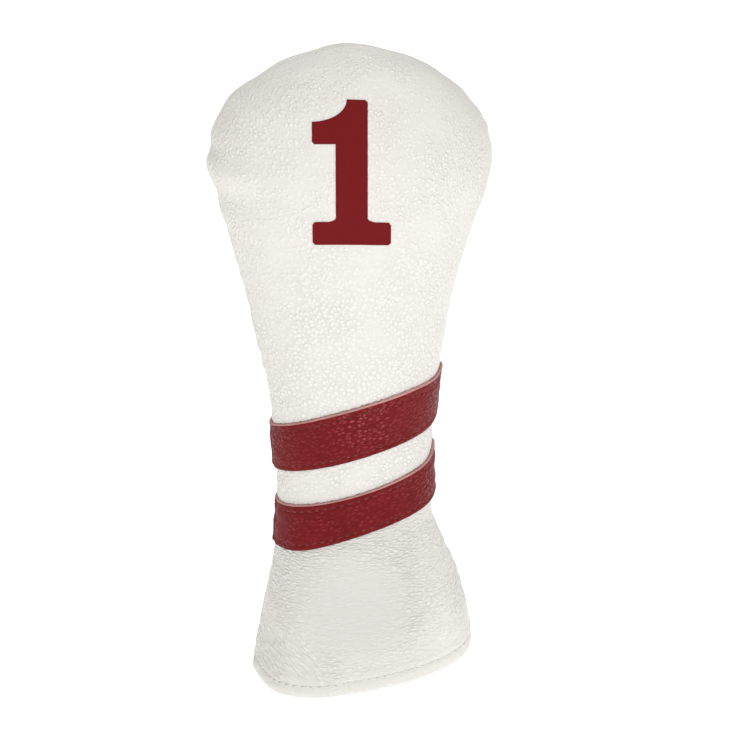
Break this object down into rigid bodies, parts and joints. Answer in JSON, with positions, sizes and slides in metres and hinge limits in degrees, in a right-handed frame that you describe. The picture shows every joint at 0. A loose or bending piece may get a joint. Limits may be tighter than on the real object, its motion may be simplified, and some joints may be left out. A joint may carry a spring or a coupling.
{
  "type": "driver head cover",
  "caption": "Padded leather sleeve for a golf driver head, with a flared mouth, an elastic neck, two slanting contrast strips and a numeral on the head.",
  "frame": {"origin": "centre of the open mouth, on the plane of the hem that the cover stands on", "axes": "+Z along the cover from the mouth to the crown, -Y out of the side with the numeral, side seams in the XZ plane"},
  "size_m": [0.1457, 0.0965, 0.336],
  "materials": {
    "white_leather": "pebbled, soft sheen",
    "red_leather": "pebbled, satin",
    "red_film": "matte film",
    "foam": "matte foam",
    "fleece": "soft pile",
    "elastic": "woven, matte",
    "white_thread": "twisted thread",
    "red_thread": "twisted thread"
  },
  "bodies": {
    "root": {"front_panel": "white_leather", "back_panel": "white_leather", "hem_facing": "white_leather", "front_padding": "foam", "back_padding": "foam", "front_lining": "fleece", "back_lining": "fleece", "neck_elastic": "elastic", "upper_strip_front": "red_leather", "upper_strip_back": "red_leather", "lower_strip_front": "red_leather", "lower_strip_back": "red_leather", "numeral_patch": "red_film", "hem_stitching": "white_thread", "upper_strip_stitching": "red_thread", "lower_strip_stitching": "red_thread", "elastic_stitching": "white_thread", "left_seam_stitching": "white_thread", "right_seam_stitching": "white_thread", "lining_stitching": "white_thread"}
  },
  "joints": []
}
